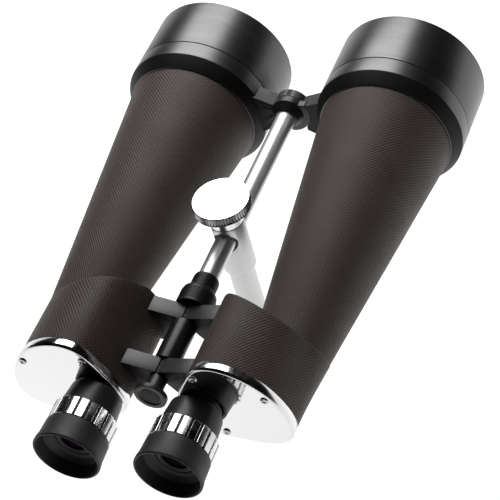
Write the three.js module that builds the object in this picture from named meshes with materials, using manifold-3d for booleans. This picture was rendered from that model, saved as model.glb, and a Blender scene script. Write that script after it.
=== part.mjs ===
// Giant 25 x 100 class astronomy binoculars: two Porro-prism barrels that fold about a centre rod,
// with a tripod post that slides and swivels on the rod.
// Millimetres. +Y points along the optical axes towards the objectives, +X to the user's right, +Z up.
// The origin is the centre of the tripod post's seat.

import * as THREE from 'three';
import { mergeVertices } from 'three/addons/utils/BufferGeometryUtils.js';
import Module from 'manifold-3d';

const wasm = await Module();
wasm.setup();

// ---------------------------------------------------------------- driving dimensions
// Lengths along Y ("Y" constants) are counted from the plane of the eyecup rims.

const POST_Y = 212;             // tripod post's axis
const ROD_HEIGHT = 80;          // rod axis above the tripod seat
const GAP = 0.3;                // clearance between neighbouring pieces

const OBJECTIVE = { x: 79.2, z: -6.5 };   // objective axis, from the rod axis
const EYEPIECE = { x: 37, z: 0 };         // eyepiece axis, from the rod axis

const FINE = 28;                // sides of the large turned pieces
const MEDIUM = 16;
const COARSE = 10;

const CONE_START_Y = 62;        // barrel cone: radius grows from here
const CONE_START_RADIUS = 21.73;
const CONE_SLOPE = 0.1094;
const SKIN = 0.9;               // thickness of the textured covering
const TUBE_WALL = 2.2;
const BARREL_END_Y = 330.2;

const RING_RADIUS = 57.3;       // objective ring and hood, outside
const RING_START_Y = 330.5;
const HOOD_START_Y = 354.6;
const HOOD_END_Y = 401.6;
const LENS_RADIUS = 52;

const COVER_Y = 55;             // face of the polished rear cover
const COVER_DEPTH = 7;
const COVER_WALL = 2.5;
const EYEPIECE_PORT_RADIUS = 9;
const HOUSING_Y = COVER_Y + COVER_DEPTH + GAP;
const HOUSING_WALL = 2.5;
const FRONT_WALL = 3;
const FRONT_PORT_RADIUS = 23;   // hole that lets the objective's light into the housing
const HOUSING_FRONT_Y = 135.5;  // furthest forward that the housing reaches

const COVER_SCREWS = [[40.5, 31.5], [88.7, 21.5], [53, -20]];
const SCREW_HEAD_RADIUS = 3;
const SCREW_RADIUS = 1.5;
const SCREW_BOSS_RADIUS = 4.2;
const SCREW_BOSS_END_Y = 80;

const ROD_RADIUS = 7.5;
const AXLE_RADIUS = 4.5;
const KNUCKLE_RADIUS = 6.4;
const REAR_HINGE = { start: 74, end: 86.6 };
const MIDDLE_HINGE = { start: 122, end: 134.9 };
const FRONT_HINGE = { start: 344.9, end: 351.5, knuckleRadius: 13.3, boltRadius: 4.8 };
const BOSS = { start: 338.6, end: 344.6, topRadius: 13.3, lowRadius: 17.5 };

const BUSH = { bore: 7.8, radius: 8.9, halfLength: 8.5, slit: 2 };
const POST_HEAD_RADIUS = 12.35;
const POST_RADIUS = 9.8;
const POST_TOP = 13;            // above the rod axis
const INSERT = { bore: 3.2, radius: 6, top: -64.3 };
const CLAMP_BORE_RADIUS = 4.6;
const CLAMP_SCREW_RADIUS = 3.8;
const CLAMP_SCREW_TOP = 30;
const SHOE_TOP = 12.2;
const KNOB = { hubRadius: 12.6, bottom: POST_TOP + 0.4, radius: 21.3, headBottom: 26.4, top: 34.2 };

// ---------------------------------------------------------------- materials

const finishes = {
  blackMetal: { color: 0x17181a, roughness: 0.38, metalness: 0.7 },
  blackPlastic: { color: 0x1a1a1b, roughness: 0.5, metalness: 0 },
  covering: { color: 0x4d4442, roughness: 0.75, metalness: 0 },
  chrome: { color: 0xe6e7ea, roughness: 0.08, metalness: 1 },
  satinSteel: { color: 0xb9bbbe, roughness: 0.25, metalness: 1 },
  brass: { color: 0xb08d4b, roughness: 0.35, metalness: 1 },
  rubber: { color: 0x1e1e1f, roughness: 0.8, metalness: 0 },
  lens: { color: 0x2c3350, roughness: 0.02, metalness: 0 },
  prism: { color: 0xdfe8e6, roughness: 0.03, metalness: 0 },
};

// ---------------------------------------------------------------- geometry helpers

// A closed mesh with merged corners, ready for cutting and joining.
function solid(geometry) {
  const bare = geometry.clone();
  bare.deleteAttribute('normal');
  bare.deleteAttribute('uv');
  const welded = mergeVertices(bare, 1e-4);
  const corners = welded.index.array;
  const triVerts = [];
  for (let i = 0; i < corners.length; i += 3) {
    const [a, b, c] = corners.slice(i, i + 3);
    if (a !== b && b !== c && c !== a) triVerts.push(a, b, c);
  }
  return new wasm.Manifold(new wasm.Mesh({
    numProp: 3,
    vertProperties: new Float32Array(welded.attributes.position.array),
    triVerts: new Uint32Array(triVerts),
  }));
}

function shell(manifold) {
  const { vertProperties, triVerts } = manifold.getMesh();
  const geometry = new THREE.BufferGeometry();
  geometry.setAttribute('position', new THREE.BufferAttribute(vertProperties, 3));
  geometry.setIndex(new THREE.BufferAttribute(triVerts, 1));
  return geometry;
}

// A ring or plug turned about an axis along Y. The profile is [radius, y] pairs, anticlockwise.
function turned(profile, sides, axis = { x: 0, z: 0 }) {
  const points = profile.map(([radius, y]) => new THREE.Vector2(radius, y));
  const closesOnAxis = profile[0][0] === 0 && profile.at(-1)[0] === 0;
  if (!closesOnAxis) points.push(points[0].clone());
  return new THREE.LatheGeometry(points, sides).translate(axis.x, 0, axis.z);
}

// The same about a vertical axis through the tripod post.
function turnedUpright(profile, sides) {
  return turned(profile, sides).rotateX(Math.PI / 2).translate(0, POST_Y, 0);
}

function cylinder(radius, y0, y1, sides, axis = { x: 0, z: 0 }) {
  return turned([[0, y0], [radius, y0], [radius, y1], [0, y1]], sides, axis);
}

function uprightCylinder(radius, bottom, top, sides) {
  return turnedUpright([[0, bottom], [radius, bottom], [radius, top], [0, top]], sides);
}

// A plate with an outline in X and Z, from y0 to y1.
function plate(outline, y0, y1) {
  const shape = new THREE.Shape(outline);
  const geometry = new THREE.ExtrudeGeometry(shape, { depth: y1 - y0, bevelEnabled: false });
  return geometry.rotateX(Math.PI / 2).translate(0, y1, 0);
}

function points2(pairs) {
  return pairs.map(([x, z]) => new THREE.Vector2(x, z));
}

function mirrored(geometry) {
  const flipped = geometry.index ? geometry.clone() : mergeVertices(geometry);
  flipped.scale(-1, 1, 1);
  const corners = flipped.index.array;
  for (let i = 0; i < corners.length; i += 3) {
    [corners[i + 1], corners[i + 2]] = [corners[i + 2], corners[i + 1]];
  }
  return flipped;
}

// ---------------------------------------------------------------- shapes shared by several pieces

// The oblique oval of the rear cover and prism housing, drawn in by a distance.
const OVAL = new THREE.CatmullRomCurve3([
  [40, 38.5], [47, 43.2], [57, 44.8], [68, 42.6], [79, 37.2], [89, 28.5], [97, 16.5], [102.3, 3],
  [103.3, -8], [99.5, -18], [90, -24.8], [76, -27], [58, -26.4], [40, -25.5], [25.5, -21.5], [19, -11],
  [20.6, 0], [25, 13], [32.6, 28],
].map(([x, z]) => new THREE.Vector3(x, 0, z)), true);
const OVAL_POINTS = 26;

function oval(inset) {
  const outline = [];
  for (let i = 0; i < OVAL_POINTS; i++) {
    const point = OVAL.getPointAt(i / OVAL_POINTS);
    const along = OVAL.getTangentAt(i / OVAL_POINTS);
    outline.push(new THREE.Vector2(point.x - along.z * -inset, point.z - along.x * inset));
  }
  return outline;
}

function coneRadius(y) {
  return CONE_START_RADIUS + CONE_SLOPE * (y - CONE_START_Y);
}

// A solid cone along the objective axis, a distance inside the barrel's outer surface.
function cone(inset, y0, y1) {
  const profile = [[0, y0], [coneRadius(y0) - inset, y0], [coneRadius(y1) - inset, y1], [0, y1]];
  return solid(turned(profile, FINE, OBJECTIVE));
}

// Everything in front of the prism housing: its front wall slants back towards the top and outside.
const FRONT_SLANT = new THREE.Vector3(0.3526, 1, 0.3133);
const FRONT_SLANT_Y = 150.95;
const FAR = 400;

function frontSpace(forward) {
  const normal = FRONT_SLANT.clone().normalize();
  const turn = new THREE.Quaternion().setFromUnitVectors(new THREE.Vector3(0, 1, 0), normal);
  const slanted = new THREE.BoxGeometry(FAR, FAR, FAR)
    .translate(0, FAR / 2 + forward, 0)
    .applyQuaternion(turn)
    .translate(0, FRONT_SLANT_Y, 0);
  const square = new THREE.BoxGeometry(FAR, FAR, FAR)
    .translate(0, HOUSING_FRONT_Y + forward + FAR / 2, 0);
  return solid(slanted).add(solid(square));
}

// The outside of the prism housing, a distance inside the covering's outer surface.
function housingBody(inset) {
  const body = solid(plate(oval(GAP + inset), HOUSING_Y, 2 * HOUSING_FRONT_Y));
  return body.add(cone(inset, HOUSING_Y, 2 * HOUSING_FRONT_Y));
}

// ---------------------------------------------------------------- objective end

function hood() {
  return turned([
    [55, HOOD_START_Y], [RING_RADIUS, HOOD_START_Y], [RING_RADIUS, HOOD_END_Y - 0.5],
    [RING_RADIUS - 0.5, HOOD_END_Y], [55.5, HOOD_END_Y], [55.5, 367], [55, 366.5],
  ], FINE, OBJECTIVE);
}

// The lug that carries half of the front hinge, from the ring to the rod axis.
const LUG = points2([[0, 6], [9, 6.4], [32, 15.9], [32, -25], [13, -15.5], [12.6, -4], [0, -4]]);

// The room that the bridge boss needs beside a lug. Its narrow side leaves the lug longer at the top.
function bossRoom(wide) {
  const { start, end, topRadius, lowRadius } = BOSS;
  const low = solid(cylinder(lowRadius + GAP, start - 1, end + GAP, FINE));
  if (wide) return low;
  const belowAxis = new THREE.BoxGeometry(FAR, FAR, FAR).translate(0, start, -FAR / 2 - 2);
  return low.intersect(solid(belowAxis)).add(solid(cylinder(topRadius + GAP, start - 1, end + GAP, FINE)));
}

function objectiveRing(knuckle, otherKnuckle, room) {
  const ring = solid(turned([
    [44.2, 318], [46, 318], [46.4, RING_START_Y], [51.3, RING_START_Y],
    [RING_RADIUS, 340.5], [RING_RADIUS, HOOD_START_Y - GAP], [54.7, HOOD_START_Y - GAP],
    [54.7, 366], [LENS_RADIUS + GAP, 366], [LENS_RADIUS + GAP, 345], [50.2, 345], [50.2, 341], [44.2, 333],
  ], FINE, OBJECTIVE));
  const { start, end, knuckleRadius, boltRadius } = FRONT_HINGE;
  const bore = solid(cylinder(54, BOSS.start - 1, end + 1, FINE, OBJECTIVE));
  const sweepEnds = [otherKnuckle.start - GAP, otherKnuckle.end + GAP];
  const sweep = solid(cylinder(knuckleRadius + GAP, ...sweepEnds, MEDIUM));
  const eye = solid(cylinder(knuckleRadius, knuckle.start, knuckle.end, MEDIUM));
  const hole = solid(cylinder(boltRadius + GAP, start - 1, end + 1, COARSE));
  const lug = solid(plate(LUG, BOSS.start, end)).subtract(bore).subtract(sweep).subtract(room);
  return shell(ring.add(lug.add(eye).subtract(hole)));
}

// Points of a lens surface from the axis to the rim; sag is how far the middle stands out along Y.
function lensSurface(radius, rimY, sag) {
  const steps = 3;
  const surface = [];
  for (let i = 0; i <= steps; i++) {
    const r = (radius * i) / steps;
    surface.push([r, rimY + sag * (1 - (r / radius) ** 2)]);
  }
  return surface;
}

function lens(radius, rear, front, sides, axis) {
  const profile = [...lensSurface(radius, ...rear), ...lensSurface(radius, ...front).reverse()];
  return turned(profile, sides, axis);
}

function lensRetainer() {
  return turned([
    [49.8, 361.7], [LENS_RADIUS, 361.7], [LENS_RADIUS, 364.8], [50.4, 364.8],
  ], FINE, OBJECTIVE);
}

// ---------------------------------------------------------------- barrel

function barrelTube() {
  const outer = SKIN + GAP;
  const tube = cone(outer, 100, BARREL_END_Y).subtract(cone(outer + TUBE_WALL, 99, BARREL_END_Y + 1));
  return shell(tube.intersect(frontSpace(GAP)));
}

function barrelCovering() {
  const skin = cone(0, 100, BARREL_END_Y - GAP).subtract(cone(SKIN, 99, BARREL_END_Y + 1));
  return shell(skin.intersect(frontSpace(GAP)));
}

// ---------------------------------------------------------------- prism housing

// Hinge arm outline, from the rod axis out to the housing. The top rises towards the housing.
const ARM_REACH = 34;
const ARM_TOP = 13.7;           // at the housing
const ARM_BOTTOM = -19;
const ARM = points2([
  [1.2, 7.2], [ARM_REACH, ARM_TOP], [ARM_REACH, ARM_BOTTOM], [19, ARM_BOTTOM], [11, -11.6], [5, -4],
  [1.2, -4],
]);

function arm(hinge, knuckle) {
  const middle = (hinge.start + hinge.end) / 2;
  const isRear = knuckle === 'rear';
  const own = isRear ? [hinge.start, middle - GAP / 2] : [middle + GAP / 2, hinge.end];
  const other = isRear ? [middle - GAP / 2, hinge.end + 1] : [hinge.start - 1, middle + GAP / 2];
  const sweep = solid(cylinder(KNUCKLE_RADIUS + GAP, ...other, MEDIUM));
  const eye = solid(cylinder(KNUCKLE_RADIUS, ...own, MEDIUM));
  const hole = solid(cylinder(AXLE_RADIUS + GAP, hinge.start - 2, hinge.end + 2, COARSE));
  return solid(plate(ARM, hinge.start, hinge.end)).subtract(sweep).add(eye).subtract(hole);
}

function screwBosses() {
  const limit = solid(plate(oval(COVER_WALL + GAP), COVER_Y + COVER_WALL + GAP, SCREW_BOSS_END_Y));
  const bosses = COVER_SCREWS
    .map(([x, z]) => solid(cylinder(SCREW_BOSS_RADIUS, 50, SCREW_BOSS_END_Y, COARSE, { x, z })));
  return bosses.reduce((all, boss) => all.add(boss)).intersect(limit);
}

function screwHoles(y0, y1) {
  const holes = COVER_SCREWS.map(([x, z]) => solid(cylinder(SCREW_RADIUS + GAP, y0, y1, 12, { x, z })));
  return holes.reduce((all, hole) => all.add(hole));
}

function prismHousing(rearKnuckle, middleKnuckle) {
  const metal = SKIN + GAP;
  const cavity = solid(plate(oval(GAP + metal + HOUSING_WALL), 50, 200))
    .add(cone(metal + HOUSING_WALL, 61, 200))
    .subtract(frontSpace(-FRONT_WALL));
  const lightPort = solid(cylinder(FRONT_PORT_RADIUS, 90, 200, FINE, OBJECTIVE));
  return shell(housingBody(metal)
    .add(arm(REAR_HINGE, rearKnuckle))
    .add(arm(MIDDLE_HINGE, middleKnuckle))
    .subtract(frontSpace(0))
    .subtract(cavity)
    .subtract(lightPort)
    .add(screwBosses())
    .subtract(screwHoles(50, 78)));
}

function housingCovering() {
  const armRoots = [REAR_HINGE, MIDDLE_HINGE].map(({ start, end }, i) => {
    const forward = i === 0 ? end + GAP : 2 * end;
    const top = ARM_TOP + 2 * GAP;
    const bottom = ARM_BOTTOM - GAP;
    const room = points2([[0, top], [ARM_REACH + 2, top], [ARM_REACH + 2, bottom], [0, bottom]]);
    return solid(plate(room, start - GAP, forward));
  });
  return shell(housingBody(0)
    .subtract(solid(plate(oval(GAP + SKIN), 50, 300)))
    .subtract(cone(SKIN, 61, 300))
    .subtract(frontSpace(0))
    .subtract(armRoots[0])
    .subtract(armRoots[1]));
}

// A right-angle prism: its long face lies at y, its roof edge points along Y to the other side.
function prism(centre, along, halfLength, halfWidth, y, apexDirection) {
  const section = new THREE.Shape(points2([[-halfLength, 0], [halfLength, 0], [0, halfLength]]));
  const geometry = new THREE.ExtrudeGeometry(section, { depth: 2 * halfWidth, bevelEnabled: false });
  geometry.translate(0, 0, -halfWidth);
  if (apexDirection < 0) geometry.rotateX(Math.PI);
  return geometry.rotateY(-Math.atan2(along.z, along.x)).translate(centre.x, y, centre.z);
}

const REAR_PRISM = {
  centre: { x: 70, z: 6.5 }, along: { x: -0.6, z: 0.8 }, half: 26, width: 11.5, y: 87,
};
const FRONT_PRISM = {
  centre: { x: 52.5, z: 12 }, along: { x: 0.774, z: 0.633 }, half: 18, width: 8.5, y: 90.6,
};
const LIGHT_PORTS = [[79.2, -6.5, 14], [60.5, 18.8, 9], [39.5, 1.5, 6.5]];

function prismShelf() {
  const ports = LIGHT_PORTS.map(([x, z, radius]) => solid(cylinder(radius, 80, 100, MEDIUM, { x, z })));
  const outline = oval(SKIN + HOUSING_WALL + 3 * GAP + 0.2);
  const shelf = solid(plate(outline, REAR_PRISM.y + GAP, FRONT_PRISM.y - GAP));
  return shell(ports.reduce((left, port) => left.subtract(port), shelf));
}

function rearCover() {
  const eyepiecePort = solid(cylinder(EYEPIECE_PORT_RADIUS, 50, 70, MEDIUM, EYEPIECE));
  return shell(solid(plate(oval(0), COVER_Y, COVER_Y + COVER_DEPTH))
    .subtract(solid(plate(oval(COVER_WALL), COVER_Y + COVER_WALL, COVER_Y + COVER_DEPTH + 1)))
    .subtract(eyepiecePort)
    .subtract(screwHoles(50, 70)));
}

function coverScrew([x, z]) {
  return turned([
    [0, COVER_Y - 1.6], [SCREW_HEAD_RADIUS - 0.6, COVER_Y - 1.6], [SCREW_HEAD_RADIUS, COVER_Y - GAP],
    [SCREW_RADIUS, COVER_Y - GAP], [SCREW_RADIUS, 76], [0, 76],
  ], 12, { x, z });
}

// ---------------------------------------------------------------- eyepiece

function eyepieceBase() {
  return turned([
    [13.8, 28.5], [16, 28.5], [16, 52.7], [17.2, 52.7], [17.2, 54.7], [8.7, 54.7], [8.7, 60], [7, 60],
    [7, 52.5], [13.8, 52.5],
  ], MEDIUM, EYEPIECE);
}

function lensCell() {
  return turned([
    [9.9, 13.6], [13.4, 13.6], [13.4, 46], [10.9, 46], [10.9, 14.7], [9.9, 14.7],
  ], MEDIUM, EYEPIECE);
}

const RIB_COUNT = 20;
const RIB = { innerRadius: 20.6, outerRadius: 22.8, width: 4.4, start: 18.9, end: 33.5 };

function focusRing() {
  let ring = solid(turned([
    [13.7, 14.5], [18, 14.5], [18, RIB.start], [21.3, RIB.start], [21.3, 33.7], [20.6, 34.2], [19.5, 42],
    [18.4, 52.3], [16.3, 52.3], [16.3, 24], [13.7, 24],
  ], RIB_COUNT, EYEPIECE));
  const { innerRadius, outerRadius, width, start, end } = RIB;
  for (let i = 0; i < RIB_COUNT; i++) {
    const rib = new THREE.BoxGeometry(outerRadius - innerRadius, end - start, width)
      .translate((outerRadius + innerRadius) / 2, (start + end) / 2, 0)
      .rotateY((2 * Math.PI * i) / RIB_COUNT)
      .translate(EYEPIECE.x, 0, EYEPIECE.z);
    ring = ring.add(solid(rib));
  }
  return shell(ring);
}

function eyecup() {
  return turned([
    [18.3, 18.6], [18.3, 14.2], [13.8, 14.2], [13.8, 12.9], [16.5, 12.4], [20.4, 9], [22.4, 0.6],
    [23.1, 0], [24.1, 0.6], [22.9, 10], [22.7, 18.6],
  ], 20, EYEPIECE);
}

// ---------------------------------------------------------------- centre rod and hinge hardware

function rodCollar() {
  return turned([
    [4.8, 135.2], [12.8, 135.2], [13.3, 135.8], [13.3, 148.5], [12.2, 151.8], [9.7, 152.8], [9.7, 163.6],
    [9, 165], [7.8, 165], [7.8, 152.2], [4.8, 152.2],
  ], MEDIUM);
}

function rearCap() {
  return turned([
    [0, 58.8], [8.2, 58.8], [8.4, 58], [11.2, 58], [11.8, 58.7], [11.8, 60.8], [11.3, 61.4],
    [6.4, 61.6], [6.4, 73.7], [4.8, 73.7], [4.8, 60.5], [0, 60.5],
  ], MEDIUM);
}

// A cam-shaped plate: wide below and to the right, narrow over the top and to the left.
function bridgeBoss() {
  const { start, end, topRadius, lowRadius } = BOSS;
  const degree = Math.PI / 180;
  const outline = new THREE.Shape()
    .absarc(0, 0, lowRadius, -88 * degree, 33 * degree, false)
    .absarc(0, 0, topRadius, 45 * degree, 255 * degree, false);
  const settings = { depth: end - start, bevelEnabled: false, curveSegments: 9 };
  const cam = new THREE.ExtrudeGeometry(outline, settings)
    .rotateX(Math.PI / 2)
    .translate(0, end, 0);
  const hub = solid(turned([[0, 332.6], [8.8, 332.6], [12.8, start + 0.5], [0, start + 0.5]], 24));
  const rodSocket = solid(cylinder(ROD_RADIUS + GAP, 328, 341, 24));
  const boltHole = solid(cylinder(FRONT_HINGE.boltRadius + GAP, 340, end + 1, COARSE));
  return shell(solid(cam).add(hub).subtract(rodSocket).subtract(boltHole));
}

function bridgeBolt() {
  const { boltRadius, end } = FRONT_HINGE;
  return turned([
    [0, 341.3], [boltRadius, 341.3], [boltRadius, end + GAP], [9.8, end + GAP],
    [9.8, end + 2.8], [9, end + 3.6], [0, end + 3.6],
  ], COARSE);
}

// ---------------------------------------------------------------- tripod post and clamp

function tripodPost() {
  const post = solid(turnedUpright([
    [0, -ROD_HEIGHT], [POST_RADIUS - 0.5, -ROD_HEIGHT], [POST_RADIUS, 0.5 - ROD_HEIGHT], [POST_RADIUS, -38],
    [POST_HEAD_RADIUS, -33], [POST_HEAD_RADIUS, POST_TOP - 0.8], [POST_HEAD_RADIUS - 0.8, POST_TOP],
    [0, POST_TOP],
  ], MEDIUM));
  const rodBore = solid(cylinder(BUSH.radius + GAP, POST_Y - 20, POST_Y + 20, 24));
  const clampBore = uprightCylinder(CLAMP_BORE_RADIUS, 5, POST_TOP + 5, COARSE);
  const insertBore = uprightCylinder(INSERT.radius + GAP, -ROD_HEIGHT - 10, INSERT.top + GAP, MEDIUM);
  return shell(post.subtract(rodBore).subtract(solid(clampBore)).subtract(solid(insertBore)));
}

function tripodInsert() {
  const { bore, radius, top } = INSERT;
  return turnedUpright([[bore, -ROD_HEIGHT], [radius, -ROD_HEIGHT], [radius, top], [bore, top]], MEDIUM);
}

// A split bush: the rod slides in it, and the clamp presses it onto the rod.
function rodBush() {
  const { bore, radius, halfLength, slit } = BUSH;
  const rear = POST_Y - halfLength;
  const front = POST_Y + halfLength;
  const bush = solid(turned([[bore, rear], [radius, rear], [radius, front], [bore, front]], 24));
  const cut = new THREE.BoxGeometry(slit, 3 * halfLength, radius).translate(0, POST_Y, -radius);
  return shell(bush.subtract(solid(cut)));
}

function clampShoe() {
  return uprightCylinder(CLAMP_BORE_RADIUS - GAP, BUSH.radius + GAP, SHOE_TOP, COARSE);
}

function clampKnob() {
  const bore = CLAMP_SCREW_RADIUS + GAP;
  const boreTop = CLAMP_SCREW_TOP + GAP;
  const { hubRadius, bottom, radius, headBottom, top } = KNOB;
  return turnedUpright([
    [bore, bottom], [hubRadius, bottom], [hubRadius, headBottom], [radius - 0.6, headBottom],
    [radius, headBottom + 0.6], [radius, top - 0.6], [radius - 0.6, top],
    [0, top], [0, boreTop], [bore, boreTop],
  ], 24);
}

function clampScrew() {
  return uprightCylinder(CLAMP_SCREW_RADIUS, SHOE_TOP + GAP, CLAMP_SCREW_TOP, COARSE);
}

// ---------------------------------------------------------------- assembly

const optics = new THREE.Group();
optics.position.set(0, -POST_Y, ROD_HEIGHT);

function add(name, geometry, finish) {
  const mesh = new THREE.Mesh(geometry, new THREE.MeshStandardMaterial(finishes[finish]));
  mesh.name = name;
  optics.add(mesh);
}

function addSide(side) {
  const isRight = side === 'right';
  const middle = (FRONT_HINGE.start + FRONT_HINGE.end) / 2;
  const knuckles = [
    { start: FRONT_HINGE.start, end: middle - GAP / 2 },
    { start: middle + GAP / 2, end: FRONT_HINGE.end },
  ];
  if (isRight) knuckles.reverse();
  const place = (name, geometry, finish) => {
    add(`${name}_${side}`, isRight ? geometry : mirrored(geometry), finish);
  };

  place('hood', hood(), 'blackMetal');
  place('objective_ring', objectiveRing(...knuckles, bossRoom(isRight)), 'blackMetal');
  place('crown_lens', lens(LENS_RADIUS, [353.8, -4], [360.8, 5], FINE / 2, OBJECTIVE), 'lens');
  place('flint_lens', lens(LENS_RADIUS, [345.3, 0], [353.4, -4], FINE / 2, OBJECTIVE), 'lens');
  place('lens_retainer', lensRetainer(), 'blackMetal');
  place('barrel_tube', barrelTube(), 'blackMetal');
  place('barrel_covering', barrelCovering(), 'covering');
  const housingKnuckles = isRight ? ['rear', 'front'] : ['front', 'rear'];
  place('prism_housing', prismHousing(...housingKnuckles), 'blackMetal');
  place('housing_covering', housingCovering(), 'covering');
  for (const [name, { centre, along, half, width, y }, apex] of [
    ['rear_prism', REAR_PRISM, -1],
    ['front_prism', FRONT_PRISM, 1],
  ]) {
    place(name, prism(centre, along, half, width, y, apex), 'prism');
  }
  place('prism_shelf', prismShelf(), 'blackMetal');
  place('rear_cover', rearCover(), 'chrome');
  COVER_SCREWS.forEach((position, i) => place(`cover_screw_${i + 1}`, coverScrew(position), 'satinSteel'));
  place('eyepiece_base', eyepieceBase(), 'blackMetal');
  place('lens_cell', lensCell(), 'blackMetal');
  place('eye_lens', lens(10.6, [15, 0], [18, 1.6], COARSE, EYEPIECE), 'lens');
  place('field_lens', lens(10.6, [40.5, -1.5], [43, 1.5], COARSE, EYEPIECE), 'lens');
  place('focus_ring', focusRing(), 'blackMetal');
  place('eyecup', eyecup(), 'rubber');
}

addSide('left');
addSide('right');
add('centre_rod', cylinder(ROD_RADIUS, 152.5, 340.7, 24), 'satinSteel');
add('hinge_axle', cylinder(AXLE_RADIUS, 60.8, 151.9, COARSE), 'satinSteel');
add('hinge_spacer', turned([[4.8, 86.9], [9, 86.9], [9, 121.7], [4.8, 121.7]], 24), 'blackPlastic');
add('rod_collar', rodCollar(), 'blackPlastic');
add('rear_cap', rearCap(), 'blackPlastic');
add('bridge_boss', bridgeBoss(), 'blackMetal');
add('bridge_bolt', bridgeBolt(), 'blackMetal');
add('tripod_post', tripodPost(), 'chrome');
add('tripod_insert', tripodInsert(), 'brass');
add('rod_bush', rodBush(), 'blackPlastic');
add('clamp_shoe', clampShoe(), 'brass');
add('clamp_screw', clampScrew(), 'satinSteel');
add('clamp_knob', clampKnob(), 'chrome');

const binoculars = new THREE.Group();
binoculars.add(optics);

export default binoculars;
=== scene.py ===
"""Looks for the giant astronomy binoculars: turned metal, woven covering, bright covers and coated glass.

Sizes are millimetres, measured as the CAD model's are: x and z from the rod's axis, y forward from the
plane of the eyecup rims. place() turns them into the frame's metres. Left pieces mirror the right ones.
"""
import math

import bmesh
import bpy
from mathutils import Matrix, Vector


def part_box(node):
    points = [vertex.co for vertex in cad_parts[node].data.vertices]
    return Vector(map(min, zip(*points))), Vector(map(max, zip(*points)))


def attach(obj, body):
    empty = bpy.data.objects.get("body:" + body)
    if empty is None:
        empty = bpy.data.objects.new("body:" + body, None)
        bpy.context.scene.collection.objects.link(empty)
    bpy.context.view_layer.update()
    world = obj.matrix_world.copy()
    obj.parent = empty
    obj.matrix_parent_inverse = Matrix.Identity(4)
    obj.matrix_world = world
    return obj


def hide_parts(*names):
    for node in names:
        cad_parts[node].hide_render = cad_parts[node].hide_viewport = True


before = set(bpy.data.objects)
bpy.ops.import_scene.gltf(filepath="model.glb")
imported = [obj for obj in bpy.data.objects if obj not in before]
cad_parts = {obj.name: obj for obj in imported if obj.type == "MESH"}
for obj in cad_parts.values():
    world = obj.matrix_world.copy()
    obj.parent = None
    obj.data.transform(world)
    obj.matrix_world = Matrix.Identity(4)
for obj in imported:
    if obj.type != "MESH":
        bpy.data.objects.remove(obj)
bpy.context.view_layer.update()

# ---------------------------------------------------------------- frame and main sizes

MM = 0.001
RIM_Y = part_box("eyecup_right")[0].y
ROD_Z = sum(corner.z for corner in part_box("centre_rod")) / 2
SIDES = {"right": 1, "left": -1}
GAP = 0.3       # clearance between pieces that are cut to fit each other

OBJECTIVE = (79.2, -6.5)
EYEPIECE = (37.0, 0.0)
ROD = (0.0, 0.0)
POST_Y = -RIM_Y / MM
SEAT_Z = -ROD_Z / MM

RING_RADIUS = 57.2
HOOD_START, HOOD_END = 354.6, 401.5
BARREL_END = 330.1
FINE = 128      # segments round a large turned piece

CONE_START = 62
CONE_START_RADIUS = 21.73
CONE_SLOPE = 0.1094


def place(x, y, z):
    """A point of the CAD's millimetres in the frame's metres."""
    return Vector((x * MM, RIM_Y + y * MM, ROD_Z + z * MM))


def cone_radius(y):
    """Outside of the flared barrel's covering."""
    return CONE_START_RADIUS + CONE_SLOPE * (y - CONE_START)


# ---------------------------------------------------------------- materials

class Nodes:
    """A material's node tree, with one principled shader."""

    def __init__(self, name):
        self.material = bpy.data.materials.new(name)
        self.material.use_nodes = True
        self.tree = self.material.node_tree
        self.shader = self.tree.nodes["Principled BSDF"]

    def add(self, kind, **settings):
        node = self.tree.nodes.new("ShaderNode" + kind)
        for key, value in settings.items():
            setattr(node, key, value)
        return node

    def wire(self, source, target):
        self.tree.links.new(source, target)

    def set(self, **values):
        """Constant values, set on the shader's own sockets."""
        for key, value in values.items():
            self.shader.inputs[key.replace("_", " ")].default_value = value

    def math(self, operation, first, second=None):
        node = self.add("Math", operation=operation)
        for socket, value in zip(node.inputs, (first, second)):
            if value is None:
                continue
            if isinstance(value, (int, float)):
                socket.default_value = value
            else:
                self.wire(value, socket)
        return node.outputs[0]

    def surface(self):
        """Distance around and along the surface, in metres."""
        return self.add("UVMap", uv_map="surface").outputs[0]

    def solid(self):
        return self.add("TexCoord").outputs["Object"]

    def stretched(self, vector, scale):
        mapping = self.add("Mapping")
        mapping.inputs["Scale"].default_value = scale
        self.wire(vector, mapping.inputs["Vector"])
        return mapping.outputs[0]

    def noise(self, vector, scale, detail=3.0, roughness=0.55):
        node = self.add("TexNoise")
        node.inputs["Scale"].default_value = scale
        node.inputs["Detail"].default_value = detail
        node.inputs["Roughness"].default_value = roughness
        self.wire(vector, node.inputs["Vector"])
        return node.outputs["Fac"]

    def range(self, value, low, high, start=0.0, end=1.0):
        node = self.add("MapRange")
        node.inputs["From Min"].default_value = start
        node.inputs["From Max"].default_value = end
        node.inputs["To Min"].default_value = low
        node.inputs["To Max"].default_value = high
        self.wire(value, node.inputs["Value"])
        return node.outputs[0]

    def blend(self, factor, first, second):
        node = self.add("Mix", data_type="RGBA")
        self.wire(factor, node.inputs["Factor"])
        for socket, colour in ((node.inputs["A"], first), (node.inputs["B"], second)):
            if isinstance(colour, tuple):
                socket.default_value = (*colour, 1)
            else:
                self.wire(colour, socket)
        return node.outputs["Result"]

    def bump(self, height, strength, distance):
        node = self.add("Bump")
        node.inputs["Strength"].default_value = strength
        node.inputs["Distance"].default_value = distance
        self.wire(height, node.inputs["Height"])
        self.wire(node.outputs[0], self.shader.inputs["Normal"])

    def colour(self, value):
        self.wire(value, self.shader.inputs["Base Color"])

    def roughness(self, value):
        self.wire(value, self.shader.inputs["Roughness"])


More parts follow.
